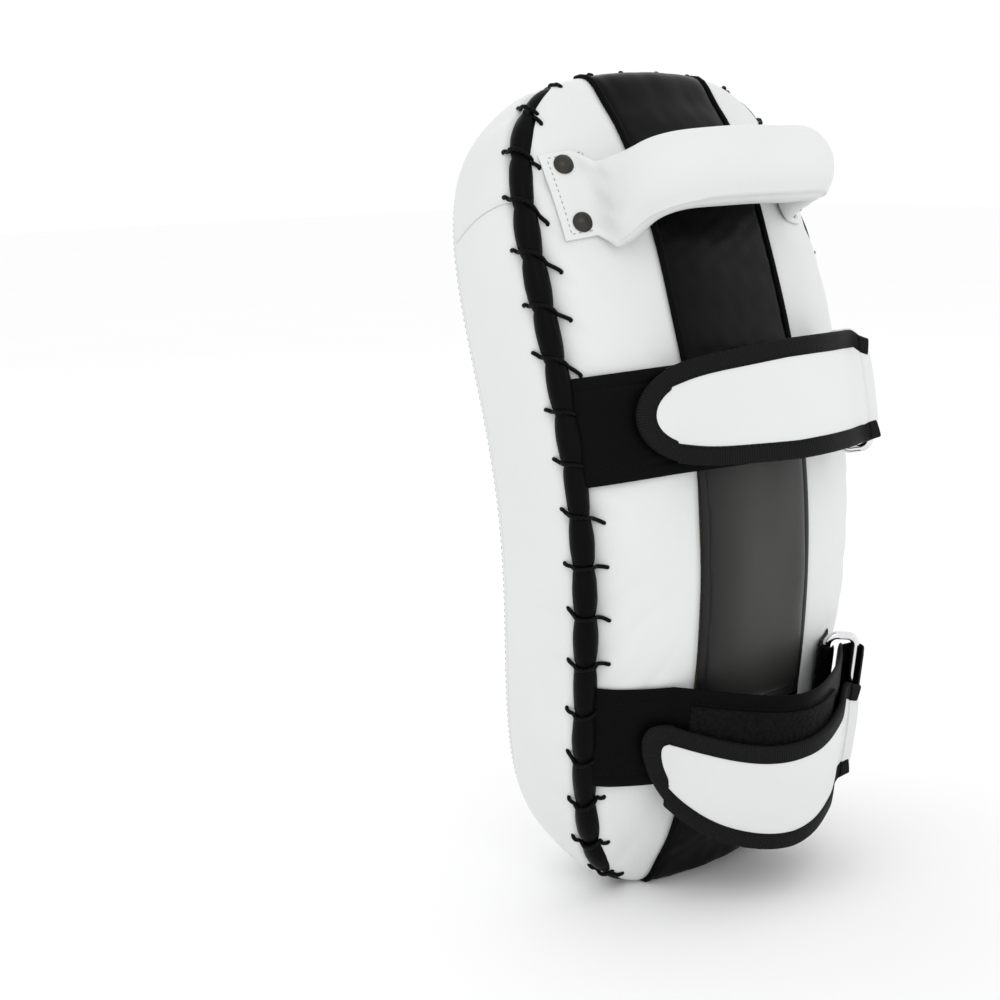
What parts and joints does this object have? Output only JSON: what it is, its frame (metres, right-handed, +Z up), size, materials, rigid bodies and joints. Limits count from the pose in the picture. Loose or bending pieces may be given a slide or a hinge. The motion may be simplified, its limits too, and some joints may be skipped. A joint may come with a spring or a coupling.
{
  "type": "thai pad",
  "caption": "Curved padded striking shield with a laced edge, a stuffed handle and two forearm straps that close through metal rings.",
  "frame": {"origin": "on the flattened end the pad stands on, at mid width, just inside the laced edge", "axes": "+Z up along the length towards the handle end, +X across the width towards the rings, -Y out of the strap side, +Y out of the striking face"},
  "size_m": [0.1994, 0.1584, 0.3828],
  "materials": {
    "white_leather": "smooth semi-gloss coated leather with a fine grain",
    "gloss_black_leather": "glossy smooth leather",
    "black_leather": "satin fine-grained leather",
    "forearm_leather": "matt smooth padded leather",
    "foam": "closed-cell sheet foam",
    "waxed_cord": "waxed braided cord",
    "rope": "twisted rope",
    "gunmetal": "dark plated domed head",
    "steel": "plain washer",
    "chrome_wire": "bright plated wire",
    "nylon_lining": "plain woven lining",
    "binding_tape": "ribbed woven binding tape",
    "hook_tape": "hook tape",
    "loop_tape": "brushed loop tape"
  },
  "bodies": {
    "root": {"front_panel": "white_leather", "side_gusset": "white_leather", "top_gusset": "white_leather", "back_panel_left": "white_leather", "back_panel_right": "white_leather", "centre_panel_top": "gloss_black_leather", "centre_panel_bottom": "gloss_black_leather", "centre_piping": "black_leather", "forearm_pad_cover": "forearm_leather", "forearm_pad_foam": "foam", "striking_foam": "foam", "middle_foam": "foam", "backing_foam": "foam", "edge_roll": "black_leather", "edge_lace": "waxed_cord", "handle_tab_left": "white_leather", "handle_tab_right": "white_leather", "handle_rivets": "gunmetal", "handle_rivet_washers": "steel", "upper_strap_band": "black_leather", "upper_loop_patch": "loop_tape", "upper_ring_tab": "black_leather", "lower_strap_band": "black_leather", "lower_loop_patch": "loop_tape", "lower_ring_tab": "black_leather"},
    "handle": {"handle_grip_cover": "white_leather", "handle_grip_foam": "foam", "handle_rope": "rope"},
    "upper_ring": {"upper_ring": "chrome_wire"},
    "upper_flap": {"upper_strap_fold": "black_leather", "upper_flap_face": "white_leather", "upper_flap_lining": "nylon_lining", "upper_flap_binding": "binding_tape", "upper_hook_patch": "hook_tape"},
    "lower_ring": {"lower_ring": "chrome_wire"},
    "lower_flap": {"lower_strap_fold": "black_leather", "lower_flap_face": "white_leather", "lower_flap_lining": "nylon_lining", "lower_flap_binding": "binding_tape", "lower_hook_patch": "hook_tape"}
  },
  "joints": [
    {"name": "handle_tilt", "type": "hinge", "parent": "root", "child": "handle", "pos_m": [0, -0.01793, 0.33031], "axis": [1, 0, 0], "range_deg": [-12, 12]},
    {"name": "upper_ring_swing", "type": "hinge", "parent": "root", "child": "upper_ring", "pos_m": [0.0643, -0.04472, 0.22757], "axis": [0, 0.1649, 0.9863], "range_deg": [-5, 5]},
    {"name": "upper_flap_peel", "type": "hinge", "parent": "root", "child": "upper_flap", "pos_m": [0.071, -0.05754, 0.22971], "axis": [0, 0.1649, 0.9863], "range_deg": [0, 150]},
    {"name": "lower_ring_swing", "type": "hinge", "parent": "root", "child": "lower_ring", "pos_m": [0.0549, -0.04347, 0.08153], "axis": [0, -0.1694, 0.9855], "range_deg": [-5, 5]},
    {"name": "lower_flap_peel", "type": "hinge", "parent": "root", "child": "lower_flap", "pos_m": [0.067, -0.05156, 0.08014], "axis": [0, -0.1694, 0.9855], "range_deg": [0, 150]}
  ]
}
